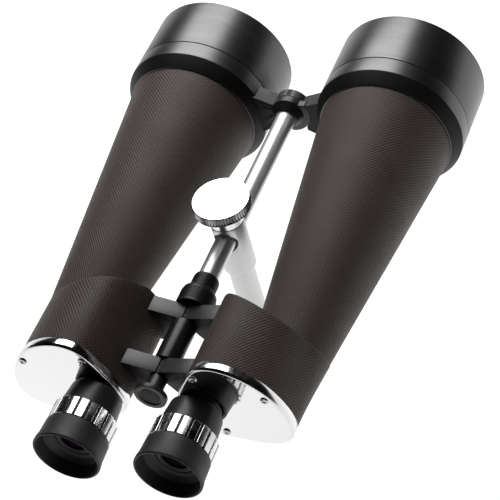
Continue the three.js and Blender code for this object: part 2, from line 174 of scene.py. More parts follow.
def turned_metal(name, dark, light, rough, metallic=1.0, lines=0.5, specular=0.5):
    """Metal off a lathe: fine lines run round it."""
    nodes = Nodes(name)
    nodes.set(Metallic=metallic, Specular_IOR_Level=specular)
    fine = nodes.noise(nodes.stretched(nodes.surface(), (18, 5200, 1)), 1.0, 4.0)
    broad = nodes.noise(nodes.stretched(nodes.surface(), (14, 260, 1)), 1.0, 2.0)
    nodes.colour(nodes.blend(broad, dark, light))
    nodes.roughness(nodes.range(fine, rough - 0.07, rough + 0.09, 0.25, 0.75))
    nodes.bump(fine, lines, 0.00003)
    return nodes.material


def cast_metal(name, dark, edge_highlight, rough, metallic=0.0, grain=900.0, specular=0.5):
    """Painted or satin castings: a faint orange-peel skin, with a painted highlight along the edges, lighter
    in patches.
    """
    nodes = Nodes(name)
    nodes.set(Metallic=metallic, Specular_IOR_Level=specular)
    skin = nodes.noise(nodes.solid(), grain, 3.0)
    patch = nodes.noise(nodes.solid(), 45.0, 3.0)
    # Edges found by pointiness get the second colour: a painted highlight.
    edge = nodes.range(nodes.add("NewGeometry").outputs["Pointiness"], 0.0, 1.0, 0.53, 0.62)
    highlight_mask = nodes.math("MULTIPLY", edge, nodes.range(patch, 0.2, 0.9, 0.3, 0.7))
    nodes.colour(nodes.blend(highlight_mask, dark, edge_highlight))
    nodes.roughness(nodes.range(patch, rough - 0.05, rough + 0.08, 0.3, 0.7))
    nodes.bump(skin, 0.25, 0.00008)
    return nodes.material


WEAVE_PITCH = 0.0018
WEAVE_RISE = math.radians(38)
RIB_SHARE = 0.65
THREAD_SHARE = 0.35


def woven_covering(name, deep, raised):
    """Rubberised cloth: a fine twill pressed into it, its ribs broken by a fainter cross thread."""
    nodes = Nodes(name)
    split = nodes.add("SeparateXYZ")
    nodes.wire(nodes.surface(), split.inputs[0])
    around, along = split.outputs[0], split.outputs[1]
    turns = 2 * math.pi / WEAVE_PITCH
    flat, steep = math.cos(WEAVE_RISE), math.sin(WEAVE_RISE)
    diagonal = nodes.math("ADD", nodes.math("MULTIPLY", around, flat), nodes.math("MULTIPLY", along, steep))
    across = nodes.math("SUBTRACT", nodes.math("MULTIPLY", around, steep), nodes.math("MULTIPLY", along, flat))
    rib = nodes.math("SINE", nodes.math("MULTIPLY", diagonal, turns))
    thread = nodes.math("SINE", nodes.math("MULTIPLY", across, turns))
    both = nodes.math("ADD", nodes.math("MULTIPLY", rib, RIB_SHARE),
                      nodes.math("MULTIPLY", thread, THREAD_SHARE))
    weave = nodes.range(both, 0.0, 1.0, -1.0, 1.0)
    patch = nodes.noise(nodes.solid(), 30.0, 4.0)
    tone = nodes.math("ADD", nodes.math("MULTIPLY", weave, 0.75), nodes.math("MULTIPLY", patch, 0.35))
    nodes.colour(nodes.blend(tone, deep, raised))
    nodes.roughness(nodes.range(patch, 0.5, 0.64, 0.3, 0.7))
    nodes.bump(weave, 0.9, 0.0003)
    nodes.set(Sheen_Weight=0.05, Sheen_Roughness=0.4, Specular_IOR_Level=0.35)
    return nodes.material


def bright_plate(name, colour, rough):
    """Mirror plating with the faint haze that handling leaves."""
    nodes = Nodes(name)
    nodes.set(Metallic=1.0)
    haze = nodes.noise(nodes.solid(), 60.0, 5.0, 0.65)
    nodes.colour(nodes.blend(haze, colour, tuple(0.96 * part for part in colour)))
    nodes.roughness(nodes.range(haze, rough * 0.5, rough * 1.8, 0.35, 0.7))
    nodes.bump(nodes.noise(nodes.solid(), 25.0, 2.0), 0.05, 0.0004)
    return nodes.material


def moulded(name, colour, light, rough, grain=1600.0, strength=0.3):
    """Rubber or plastic with a fine moulded grain."""
    nodes = Nodes(name)
    patch = nodes.noise(nodes.solid(), 80.0, 3.0)
    nodes.colour(nodes.blend(patch, colour, light))
    nodes.roughness(nodes.range(patch, rough - 0.06, rough + 0.06, 0.3, 0.7))
    nodes.bump(nodes.noise(nodes.solid(), grain, 2.0), strength, 0.00006)
    return nodes.material


def coated_glass(name, middle, edge, clear, tint):
    """Glass whose base colour turns from the first colour to the second at grazing view angles, a painted
    coating reflection; the coating's own tint is the specular tint.
    """
    nodes = Nodes(name)
    facing = nodes.add("LayerWeight")
    facing.inputs["Blend"].default_value = 0.35
    haze = nodes.noise(nodes.solid(), 120.0, 2.0)
    # Base colour by view angle: the grazing colour is a painted reflection of the coating.
    nodes.colour(nodes.blend(facing.outputs["Facing"], middle, edge))
    nodes.roughness(nodes.range(haze, 0.01, 0.035, 0.3, 0.7))
    nodes.set(IOR=1.6, Transmission_Weight=clear, Specular_Tint=(*tint, 1))
    return nodes.material


ANODISED = turned_metal("black_anodised", (0.1, 0.1, 0.1), (0.15, 0.15, 0.151), 0.34, 1.0, 0.4)
SATIN_BLACK = turned_metal("satin_black", (0.01, 0.01, 0.011), (0.022, 0.022, 0.023), 0.36, 0.0, 0.3, 0.38)
RIBBED = turned_metal("ribbed_black", (0.006, 0.006, 0.006), (0.012, 0.012, 0.012), 0.42, 0.0, 0.3, 0.3)
MATTE_BLACK = turned_metal("matte_black", (0.004, 0.004, 0.004), (0.008, 0.008, 0.0085), 0.5, 0.0, 0.3, 0.2)
GLOSS_BLACK = turned_metal("gloss_black", (0.006, 0.006, 0.006), (0.01, 0.01, 0.01), 0.3, 0.0, 0.1, 0.35)
# The second colour of these castings is a painted highlight on their edges.
BLACK_PAINT = cast_metal("black_paint", (0.012, 0.012, 0.0125), (0.09, 0.09, 0.09), 0.36)
# A darker, matt copy of the black paint for faces that don't face up and for the hinge seam: painted shade.
SHADED_CAST_SIDES = cast_metal("cast_sides", (0.005, 0.005, 0.0052), (0.03, 0.03, 0.03), 0.5, 0.0, 900.0, 0.2)
COVERING = woven_covering("covering", (0.012, 0.0085, 0.0075), (0.096, 0.067, 0.06))
# The covering's plain lip, lighter than the covering: a painted highlight along the front ridge.
COVERING_LIP_HIGHLIGHT = moulded("covering_edge", (0.05, 0.042, 0.038), (0.08, 0.07, 0.065), 0.6)
CHROME = bright_plate("chrome", (0.88, 0.88, 0.89), 0.05)
BAR_CHROME = bright_plate("bar_chrome", (0.82, 0.82, 0.83), 0.2)
SCREW_STEEL = turned_metal("screw_steel", (0.5, 0.5, 0.51), (0.66, 0.66, 0.67), 0.25, 1.0, 0.2)
POLISHED = turned_metal("polished_steel", (0.8, 0.82, 0.82), (0.88, 0.9, 0.9), 0.38, 0.8, 0.1)
POST_METAL = turned_metal("post_metal", (0.57, 0.57, 0.575), (0.64, 0.64, 0.645), 0.38, 1.0, 0.1)
KNOB_METAL = turned_metal("knob_metal", (0.82, 0.82, 0.83), (0.88, 0.88, 0.89), 0.22, 1.0, 0.04)
# A darker copy of the knob's metal for the knurled band: painted shade.
KNURL_SHADED_METAL = turned_metal("knurl_metal", (0.35, 0.35, 0.35), (0.6, 0.6, 0.6), 0.25, 1.0, 0.1)
CHROME_EDGE = bright_plate("chrome_edge", (0.85, 0.85, 0.86), 0.16)
# The second colour is a painted highlight on the brass's edges.
BRASS = cast_metal("insert_brass", (0.62, 0.44, 0.2), (0.8, 0.62, 0.34), 0.3, 1.0)
RUBBER = moulded("eyecup_rubber", (0.011, 0.011, 0.0115), (0.019, 0.019, 0.02), 0.55)
BUSH = moulded("bush_plastic", (0.01, 0.01, 0.01), (0.018, 0.018, 0.018), 0.5)
# The second colour of each glass is its painted coating reflection at grazing angles.
EYE_GLASS = coated_glass("eyepiece_glass", (0.001, 0.001, 0.004), (0.02, 0.003, 0.02), 0.0, (0.3, 0.1, 0.45))
OBJECTIVE_GLASS = coated_glass(
    "objective_glass", (0.75, 0.85, 0.95), (0.45, 0.62, 0.95), 0.95, (0.35, 0.75, 1.0))
PRISM_GLASS = coated_glass("prism_glass", (0.9, 0.96, 0.94), (0.8, 0.95, 0.9), 1.0, (1.0, 1.0, 1.0))


# ---------------------------------------------------------------- mesh building

def rounded(profile, radius, closed=True, steps=3):
    """The profile with each corner replaced by a short curve."""
    result = []
    count = len(profile)
    for i, point in enumerate(profile):
        here = Vector(point)
        if not closed and i in (0, count - 1):
            result.append(tuple(here))
            continue
        before = Vector(profile[i - 1]) - here
        after = Vector(profile[(i + 1) % count]) - here
        turn = math.pi - before.angle(after)
        reach = min(radius, 0.45 * before.length, 0.45 * after.length)
        if turn < 0.2 or reach < 0.02:
            result.append(tuple(here))
            continue
        start = here + before.normalized() * reach
        end = here + after.normalized() * reach
        for step in range(steps + 1):
            t = step / steps
            result.append(tuple(start * (1 - t) ** 2 + here * 2 * t * (1 - t) + end * t ** 2))
    return result


def lengths(points):
    """Distance of each point along a chain of points."""
    total = [0.0]
    for first, second in zip(points, points[1:]):
        total.append(total[-1] + (Vector(second) - Vector(first)).length)
    return total


class Shell:
    """Collects bands of faces, then makes them one object."""

    def __init__(self):
        self.points = []
        self.faces = []
        self.marks = []
        self.slots = []

    def bands(self, loops, around, along, slot=0):
        """Joins each closed loop of points to the next. The marks say how far around and along each is."""
        count = len(loops[0])
        first = len(self.points)
        for loop in loops:
            self.points.extend(loop)
        for row in range(len(loops) - 1):
            for i in range(count):
                j = (i + 1) % count
                a, b = first + row * count, first + (row + 1) * count
                self.faces.append((a + i, a + j, b + j, b + i))
                self.marks.append([
                    (around[i], along[row]), (around[i + 1], along[row]),
                    (around[i + 1], along[row + 1]), (around[i], along[row + 1]),
                ])
                self.slots.append(slot)

    def cap(self, loop, slot=0):
        first = len(self.points)
        self.points.extend(loop)
        self.faces.append(tuple(range(first, first + len(loop))))
        self.marks.append([(x * MM, z * MM) for x, _, z in loop])
        self.slots.append(slot)

    def build(self, name, materials, side="right", sharp=32):
        sign = SIDES[side]
        mesh = bpy.data.meshes.new(name)
        mesh.from_pydata([place(sign * x, y, z) for x, y, z in self.points], [], self.faces)
        layer = mesh.uv_layers.new(name="surface")
        flat = [mark for face in self.marks for mark in face]
        for corner, mark in zip(layer.data, flat):
            corner.uv = mark
        mesh.polygons.foreach_set("material_index", self.slots)
        for material in materials:
            mesh.materials.append(material)
        work = bmesh.new()
        work.from_mesh(mesh)
        bmesh.ops.remove_doubles(work, verts=work.verts, dist=1e-7)
        bmesh.ops.recalc_face_normals(work, faces=work.faces)
        mark_sharp(work, sharp)
        work.to_mesh(mesh)
        work.free()
        piece = bpy.data.objects.new(name, mesh)
        bpy.context.scene.collection.objects.link(piece)
        return piece


def mark_sharp(work, degrees):
    """Smooth shading everywhere but on edges that turn by more than this."""
    limit = math.radians(degrees)
    for face in work.faces:
        face.smooth = True
    for edge in work.edges:
        edge.smooth = len(edge.link_faces) == 2 and edge.calc_face_angle(0) < limit


def circle(radius, y, segments, axis):
    """A loop of points about an axis that runs along y."""
    cx, cz = axis
    steps = [2 * math.pi * i / segments for i in range(segments)]
    return [(cx + radius * math.cos(a), y, cz + radius * math.sin(a)) for a in steps]


def add_turned(shell, profile, segments, axis, slot=0):
    """Adds a ring, or a solid when the profile starts and ends on the axis."""
    widest = max(r for r, _ in profile)
    around = [2 * math.pi * widest * MM * i / segments for i in range(segments + 1)]
    if profile[0][0] > 0:
        profile = profile + [profile[0]]
    along = [step * MM for step in lengths(profile)]
    shell.bands([circle(r, y, segments, axis) for r, y in profile], around, along, slot)


def turned(name, profile, material, axis=ROD, side="right", segments=FINE, fillet=0.4):
    """A piece off a lathe, from its profile of radius and y."""
    shell = Shell()
    add_turned(shell, rounded(profile, fillet, profile[0][0] > 0), segments, axis)
    return shell.build(name, [material], side)


def upright(piece):
    """Turns a piece made about the rod's axis so that it stands on the post's axis."""
    to_post = Matrix.Translation(place(0, POST_Y, 0))
    from_rod = Matrix.Translation(-place(0, 0, 0))
    piece.data.transform(to_post @ Matrix.Rotation(math.pi / 2, 4, "X") @ from_rod)
    return piece


def prism(name, outline, y0, y1, material, side="right"):
    """A plate with an outline in x and z."""
    shell = Shell()
    ends = [[(x, y, z) for x, z in outline] for y in (y0, y1)]
    around = [step * MM for step in lengths(outline + outline[:1])]
    shell.bands(ends, around, [0, (y1 - y0) * MM])
    shell.cap(ends[0])
    shell.cap(ends[1])
    return shell.build(name, [material], side, sharp=20)


def settle(piece):
    """Makes a piece's modifiers part of its mesh."""
    view = bpy.context.evaluated_depsgraph_get()
    mesh = bpy.data.meshes.new_from_object(piece.evaluated_get(view))
    piece.modifiers.clear()
    piece.data = mesh


def combine(piece, tool, how):
    """Cuts the tool from the piece or adds it on, and uses the tool up."""
    step = piece.modifiers.new("combine", "BOOLEAN")
    step.operation = how
    step.object = tool
    step.solver = "EXACT"
    bpy.context.view_layer.update()
    settle(piece)
    bpy.data.objects.remove(tool)


SOFTEN_OVER = math.radians(35)


def soften(piece, width, segments=2, sharp=32):
    """Rounds a piece's hard edges."""
    bevel = piece.modifiers.new("soften", "BEVEL")
    bevel.width = width * MM
    bevel.segments = segments
    bevel.limit_method = "ANGLE"
    bevel.angle_limit = SOFTEN_OVER
    bevel.use_clamp_overlap = True
    bpy.context.view_layer.update()
    settle(piece)
    work = bmesh.new()
    work.from_mesh(piece.data)
    mark_sharp(work, sharp)
    work.to_mesh(piece.data)
    work.free()


# Faces turned up less than this, and faces this close to the hinge's middle, take the painted shade.
UPWARD = 0.8
SEAM_HALF = 1.6


def dull_and_shade_sides(piece):
    """Leaves a casting's upper faces satin. Its other faces and the seam over the hinge are made matt and
    darker, a painted shade.
    """
    piece.data.materials.append(SHADED_CAST_SIDES)
    for face in piece.data.polygons:
        if face.normal.z < UPWARD or abs(face.center.x) < SEAM_HALF * MM:
            face.material_index = len(piece.data.materials) - 1


def join(pieces, name):
    """Makes several objects one, keeping their materials."""
    with bpy.context.temp_override(active_object=pieces[0], selected_editable_objects=pieces):
        bpy.ops.object.join()
    pieces[0].name = name
    return pieces[0]


def use(piece, body, slot, *nodes):
    """Attaches a piece to the body that it rides and hides the CAD nodes that it replaces. The slot is not
    used.
    """
    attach(piece, body)
    if nodes:
        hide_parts(*nodes)
    return piece


# ---------------------------------------------------------------- the oval cover and prism housing

OVAL = [
    (40, 38.5), (47, 43.2), (57, 44.8), (68, 42.6), (79, 37.2), (89, 28.5), (97, 16.5), (102.3, 3),
    (103.3, -8), (99.5, -18), (90, -24.8), (76, -27), (58, -26.4), (40, -25.5), (25.5, -21.5), (19, -11),
    (20.6, 0), (25, 13), (32.6, 28),
]
OVAL_CENTRE = Vector((66, 6))
OVAL_STEPS = 180
COVER_Y = 55
HOUSING_Y = 62.3


def catmull(points, per_gap):
    """A smooth closed curve through the points."""
    curve = []
    count = len(points)
    for i in range(count):
        a, b, c, d = (Vector(points[(i + k) % count]) for k in (-1, 0, 1, 2))
        for step in range(per_gap):
            t = step / per_gap
            square = (2 * a - 5 * b + 4 * c - d) * t ** 2
            cube = (3 * b - a - 3 * c + d) * t ** 3
            curve.append(0.5 * (2 * b + (c - a) * t + square + cube))
    return curve


OVAL_CURVE = catmull(OVAL, 12)


def oval_reach(angle):
    """Distance from the oval's centre to its edge in one direction."""
    way = Vector((math.cos(angle), math.sin(angle)))
    for first, second in zip(OVAL_CURVE, OVAL_CURVE[1:] + OVAL_CURVE[:1]):
        a, b = first - OVAL_CENTRE, second - OVAL_CENTRE
        side_a = way.x * a.y - way.y * a.x
        side_b = way.x * b.y - way.y * b.x
        if side_b <= 0 < side_a:
            share = side_a / (side_a - side_b)
            return (a + (b - a) * share).dot(way)
    return 0.0


ANGLES = [2 * math.pi * i / OVAL_STEPS for i in range(OVAL_STEPS)]
OVAL_REACH = [oval_reach(angle) for angle in ANGLES]


def cone_reach(angle, radius):
    """Distance from the oval's centre to a circle about the objective axis."""
    way = Vector((math.cos(angle), math.sin(angle)))
    off = OVAL_CENTRE - Vector(OBJECTIVE)
    along = off.dot(way)
    return -along + math.sqrt(max(along ** 2 - off.length_squared + radius ** 2, 0))


def smooth_larger(a, b, softness=2.2):
    """The larger of two numbers, blended where they are close."""
    return (a + b + math.sqrt((a - b) ** 2 + softness ** 2)) / 2 - softness / 4


def housing_point(i, y, inset=0.0):
    """Where the housing's outside is at one angle: the oval, grown to hold the cone."""
    reach = smooth_larger(OVAL_REACH[i] - GAP, cone_reach(ANGLES[i], cone_radius(y))) - inset
    x = OVAL_CENTRE.x + reach * math.cos(ANGLES[i])
    z = OVAL_CENTRE.y + reach * math.sin(ANGLES[i])
    return x, z


SLANT_START, SLANT_X, SLANT_Z = 150.95, 0.3526, 0.3133
SLANT_LIMIT = 135.5


def slant_y(x, z):
    """The plane of the housing's front edge, cut off square where it would reach too far forward."""
    return min(SLANT_START - SLANT_X * x - SLANT_Z * z, SLANT_LIMIT)


def front_y(i):
    """The front edge at one angle. The cone widens as y grows, so it is found by repeating."""
    y = 120.0
    for _ in range(12):
        y = slant_y(*housing_point(i, y))
    return y


def housing_loop(share, inset=0.0, forward=0.0):
    """One loop round the housing, a share of the way from its rear to its slanted front edge."""
    loop = []
    for i in range(OVAL_STEPS):
        y = HOUSING_Y + (front_y(i) - HOUSING_Y) * share
        x, z = housing_point(i, y, inset)
        loop.append((x, y + forward, z))
    return loop


def housing_covering(side):
    """The covering round the housing, with a rounded lip at its slanted front, plain and lighter there as a
    painted highlight.
    """
    shell = Shell()
    rows = 22
    loops = [housing_loop(row / rows) for row in range(rows + 1)]
    around = [step * MM for step in lengths(loops[0] + loops[0][:1])]
    along = [(loop[0][1] - HOUSING_Y) * MM for loop in loops]
    inner = housing_loop(0.0, 1.6)
    shell.bands([inner, housing_loop(0.0, 0.3), housing_loop(0.004)], around, [0, 0.001, 0.0013])
    shell.bands([housing_loop(0.004)] + loops[1:-1] + [housing_loop(0.994)], around, along)
    # The lip's rows take the lighter plain material: a painted highlight along the front ridge.
    rim = [housing_loop(0.994), housing_loop(1.0, 0.12, 0.2), housing_loop(1.0, 0.5, 0.45),
           housing_loop(1.0, 1.2, 0.45), housing_loop(1.0, 1.5, 0.1)]
    shell.bands(rim, around, [0, 0.0004, 0.0008, 0.0014, 0.0018], slot=1)
    inside = [housing_loop(1.0, 1.5, 0.1), housing_loop(1.0, 1.6, -1.5), inner]
    shell.bands(inside, around, [0, 0.001, 0.06], slot=2)
    return shell.build(f"housing_covering_fine_{side}", [COVERING, COVERING_LIP_HIGHLIGHT, BLACK_PAINT], side)


WALL_ROUND = 0.24       # about how far it is round the wall, in metres
WALL_THICKNESS = 2.5


def front_wall(side):
    """The casting's slanted front wall, from the covering in to the barrel."""
    shell = Shell()
    outer, inner = [], []
    for i in range(OVAL_STEPS):
        y = front_y(i)
        x, z = housing_point(i, y, 1.3)
        outer.append((x, y - 0.2, z))
        reach = min(cone_reach(ANGLES[i], cone_radius(y)) - 2.2, OVAL_REACH[i] - 2.5)
        x = OVAL_CENTRE.x + reach * math.cos(ANGLES[i])
        z = OVAL_CENTRE.y + reach * math.sin(ANGLES[i])
        inner.append((x, slant_y(x, z) - 0.2, z))
    behind = [[(x, y - WALL_THICKNESS, z) for x, y, z in loop] for loop in (inner, outer)]
    around = [WALL_ROUND * i / OVAL_STEPS for i in range(OVAL_STEPS + 1)]
    shell.bands([outer, inner, behind[0], behind[1], outer], around, [0, 0.03, 0.033, 0.06, 0.063])
    return shell.build(f"housing_front_wall_{side}", [BLACK_PAINT], side)


def cover_loop(inset, y):
    """The oval at one depth, drawn in from its edge."""
    loop = []
    for reach, angle in zip(OVAL_REACH, ANGLES):
        radius = reach - inset
        x = OVAL_CENTRE.x + radius * math.cos(angle)
        z = OVAL_CENTRE.y + radius * math.sin(angle)
        loop.append((x, y, z))
    return loop


def rear_cover(side):
    """The bright rear cover, a flat face with a quarter-round edge."""
    shell = Shell()
    edge = 2.3
    steps = 7
    quarter = [math.pi / 2 * k / steps for k in range(steps + 1)]
    arc = [(edge * (1 - math.cos(a)), COVER_Y + edge * (1 - math.sin(a))) for a in quarter]
    profile = [(2.5, 62), (0.3, 62), (0, 61.7)] + arc
    loops = [cover_loop(inset, y) for inset, y in profile]
    around = [step * MM for step in lengths(loops[0] + loops[0][:1])]
    shell.bands(loops, around, [step * MM for step in lengths(profile)], slot=1)
    shell.cap(loops[-1])
    shell.cap(loops[0])
    return shell.build(f"rear_cover_fine_{side}", [CHROME, CHROME_EDGE], side, sharp=50)


# ---------------------------------------------------------------- objective end

RING_CONE = (330.6, 340.3)      # from and to: the ring's slope, which is matt


def objective_end(side):
    body = f"barrel_{side}"
    hood = turned(f"hood_fine_{side}", [
        (55, HOOD_START), (56.9, HOOD_START), (RING_RADIUS, HOOD_START + 0.3), (RING_RADIUS, HOOD_END),
        (55.7, HOOD_END), (55.4, 367), (54.8, 366.4),
    ], ANODISED, OBJECTIVE, side, 160, 0.5)
    use(hood, body, "black_anodised", f"hood_{side}")

    ring = turned(f"objective_ring_fine_{side}", [
        (44.2, 318), (46, 318), (46.4, 330.5), (51.3, 330.5), (56.6, 339.7), (RING_RADIUS, 340.9),
        (RING_RADIUS, 353.9), (56.9, 354.2), (54.7, 354.2), (54.7, 366), (52.3, 366),
        (52.3, 345), (50.2, 345), (50.2, 341), (44.2, 333),
    ], ANODISED, OBJECTIVE, side, 160, 0.35)
    ring.data.materials.append(MATTE_BLACK)
    for face in ring.data.polygons:
        if place(0, RING_CONE[0], 0).y < face.center.y < place(0, RING_CONE[1], 0).y:
            face.material_index = 1
    use(ring, body, "black_anodised", f"objective_ring_{side}")

    for name, rear, front in (("crown", (353.8, -4), (360.8, 5)), ("flint", (345.3, 0), (353.4, -4))):
        glass = lens(f"{name}_lens_fine_{side}", 52, rear, front, OBJECTIVE_GLASS, OBJECTIVE, side)
        use(glass, body, "objective_glass", f"{name}_lens_{side}")

    retainer = turned(f"lens_retainer_fine_{side}", [(49.8, 361.7), (52, 361.7), (52, 364.8), (50.4, 364.8)],
                      MATTE_BLACK, OBJECTIVE, side, FINE, 0.2)
    use(retainer, body, "matte_black", f"lens_retainer_{side}")


def lens(name, radius, rear, front, material, axis, side):
    """A lens between two bowed faces, each given by its rim's y and how far its middle bows."""
    steps = 10

    def surface(rim_y, sag):
        shares = [i / steps for i in range(steps + 1)]
        return [(radius * share, rim_y + sag * (1 - share ** 2)) for share in shares]

    shell = Shell()
    add_turned(shell, surface(*rear) + surface(*front)[::-1], 96, axis)
    return shell.build(name, [material], side)


BOSS_START, BOSS_END = 338.6, 344.6
LUG_END = 351.5
LUG_MIDDLE = 348.2


def bridge_lug(side):
    """The lug from the objective ring to the front hinge, cut round its neighbours."""
    outline = [(0, 6), (9, 6.4), (32, 15.9), (32, -25), (13, -15.5), (12.6, -4), (0, -4)]
    own, other = (LUG_MIDDLE, LUG_END), (BOSS_END, LUG_MIDDLE)
    if side == "left":
        own, other = other, own
    lug = prism(f"bridge_lug_{side}", outline, BOSS_START, LUG_END, BLACK_PAINT, side)
    wide = 17.8 if side == "right" else 13.6

    def tool(radius, y0, y1, axis=ROD, segments=96):
        profile = [(0, y0), (radius, y0), (radius, y1), (0, y1)]
        return turned("tool", profile, BLACK_PAINT, axis, side, segments, 0)

    combine(lug, tool(55.5, BOSS_START - 2, LUG_END + 2, OBJECTIVE, 160), "DIFFERENCE")
    combine(lug, tool(wide, BOSS_START - 2, BOSS_END + GAP), "DIFFERENCE")
    combine(lug, tool(13.6, other[0] - 0.15, other[1] + 0.15), "DIFFERENCE")
    combine(lug, tool(13.3, own[0] + 0.15, own[1]), "UNION")
    combine(lug, tool(5.1, BOSS_START - 2, LUG_END + 2, ROD, 48), "DIFFERENCE")
    soften(lug, 0.45)
    dull_and_shade_sides(lug)
    return use(lug, f"barrel_{side}", "black_paint")


# ---------------------------------------------------------------- barrel and housing

def barrel_covering(side):
    """The flared covering, cut off behind the housing's slanted front."""
    inset = 0.75
    shell = Shell()
    rows = 60
    start = 104
    end = BARREL_END
    ys = [start + (end - start) * row / rows for row in range(rows + 1)]
    outer = [(cone_radius(y) - inset, y) for y in ys]
    widest, narrowest = cone_radius(end), cone_radius(start)
    lip = [(widest - inset - 0.4, end + 0.25), (widest - 1.4, end + 0.25)]
    profile = outer + lip + [(widest - 1.5, end - 2), (narrowest - 1.5, start)]
    profile.append(profile[0])
    middle = cone_radius((start + end) / 2)
    around = [2 * math.pi * middle * MM * i / FINE for i in range(FINE + 1)]
    along = [step * MM for step in lengths(profile)]
    shell.bands([circle(r, y, FINE, OBJECTIVE) for r, y in profile], around, along)
    return shell.build(f"barrel_covering_fine_{side}", [COVERING], side)


REAR_ARM = (74, 86.6)
MIDDLE_ARM = (122, 134.9)
KNUCKLE = 6.4
AXLE = 4.5
ARM = [(1.2, 7.2), (34, 13.7), (34, -19), (19, -19), (11, -11.6), (5, -4), (1.2, -4)]


def hinge_arm(span, own_is_rear, side, name):
    """One arm with its eye, leaving room for the other barrel's eye."""
    start, end = span
    middle = (start + end) / 2
    halves = [(start, middle - GAP / 2), (middle + GAP / 2, end)]
    own, other = halves if own_is_rear else halves[::-1]
    block = prism(name, ARM, start, end, BLACK_PAINT, side)

    def tool(radius, y0, y1):
        profile = [(0, y0), (radius, y0), (radius, y1), (0, y1)]
        return turned("tool", profile, BLACK_PAINT, ROD, side, 72, 0)

    low = other[0] - (GAP if own_is_rear else 1)
    high = other[1] + (1 if own_is_rear else GAP)
    combine(block, tool(KNUCKLE + GAP, low, high), "DIFFERENCE")
    combine(block, tool(KNUCKLE, *own), "UNION")
    combine(block, tool(AXLE + GAP, start - 2, end + 2), "DIFFERENCE")
    soften(block, 0.4)
    dull_and_shade_sides(block)
    return block


COVER_SCREWS = [(40.5, 31.5), (88.7, 21.5), (53, -20)]


def barrel(side):
    body = f"barrel_{side}"
    use(barrel_covering(side), body, "covering", f"barrel_covering_{side}")
    use(housing_covering(side), body, "covering", f"housing_covering_{side}")
    use(front_wall(side), body, "black_paint")
    is_right = side == "right"
    arms = [
        hinge_arm(REAR_ARM, is_right, side, "rear_arm"),
        hinge_arm(MIDDLE_ARM, not is_right, side, "middle_arm"),
    ]
    use(join(arms, f"hinge_arms_{side}"), body, "black_paint", f"prism_housing_{side}")
    use(rear_cover(side), body, "chrome", f"rear_cover_{side}")
    for number, (x, z) in enumerate(COVER_SCREWS, 1):
        use(cover_screw(number, x, z, side), body, "screw_steel", f"cover_screw_{number}_{side}")


RECESS_HALF_LENGTH, RECESS_HALF_WIDTH = 1.7, 0.38
RECESS_TURN = 0.4


def cover_screw(number, x, z, side):
    """A domed screw head with a cross recess."""
    head = turned(f"cover_screw_fine_{number}_{side}", [
        (0, 53.6), (1.6, 53.7), (2.6, 54.1), (2.9, 54.7), (2.9, 55.2), (0, 55.2),
    ], SCREW_STEEL, (x, z), side, 40, 0.15)
    for turn in (RECESS_TURN, RECESS_TURN + math.pi / 2):
        way = Vector((math.cos(turn), math.sin(turn)))
        across = Vector((-way.y, way.x))
        signs = ((-1, -1), (1, -1), (1, 1), (-1, 1))
        corners = [way * a * RECESS_HALF_LENGTH + across * b * RECESS_HALF_WIDTH for a, b in signs]
        outline = [(x + corner.x, z + corner.y) for corner in corners]
        combine(head, prism("tool", outline, 52, 54.6, SCREW_STEEL, side), "DIFFERENCE")
    return head


# ---------------------------------------------------------------- eyepieces

BAR_COUNT = 20
BAR_WIDTH = 5.2
BAR_FOOT, BAR_RADIUS = 20.9, 22.8


def focus_bars(side):
    """The bright bars round the focus ring, each with rounded edges."""
    shell = Shell()
    half = BAR_WIDTH / 2
    section = rounded([(BAR_FOOT, -half), (BAR_RADIUS, -half), (BAR_RADIUS, half), (BAR_FOOT, half)], 0.35)
    ends = [(18.95, 0.4), (19.1, 0.12), (19.35, 0.0), (33.05, 0.0), (33.3, 0.12), (33.45, 0.4)]
    for number in range(BAR_COUNT):
        turn = 2 * math.pi * number / BAR_COUNT
        loops = []
        for y, inset in ends:
            loop = []
            for radius, offset in section:
                radius = min(radius, BAR_RADIUS - inset)
                offset *= 1 - inset / half
                x = EYEPIECE[0] + radius * math.cos(turn) - offset * math.sin(turn)
                z = EYEPIECE[1] + radius * math.sin(turn) + offset * math.cos(turn)
                loop.append((x, y, z))
            loops.append(loop)
        around = [step * MM for step in lengths(section + section[:1])]
        shell.bands(loops, around, [step[0] * MM for step in ends])
        shell.cap(loops[0])
        shell.cap(loops[-1])
    return shell.build(f"focus_bars_{side}", [BAR_CHROME], side, sharp=12)


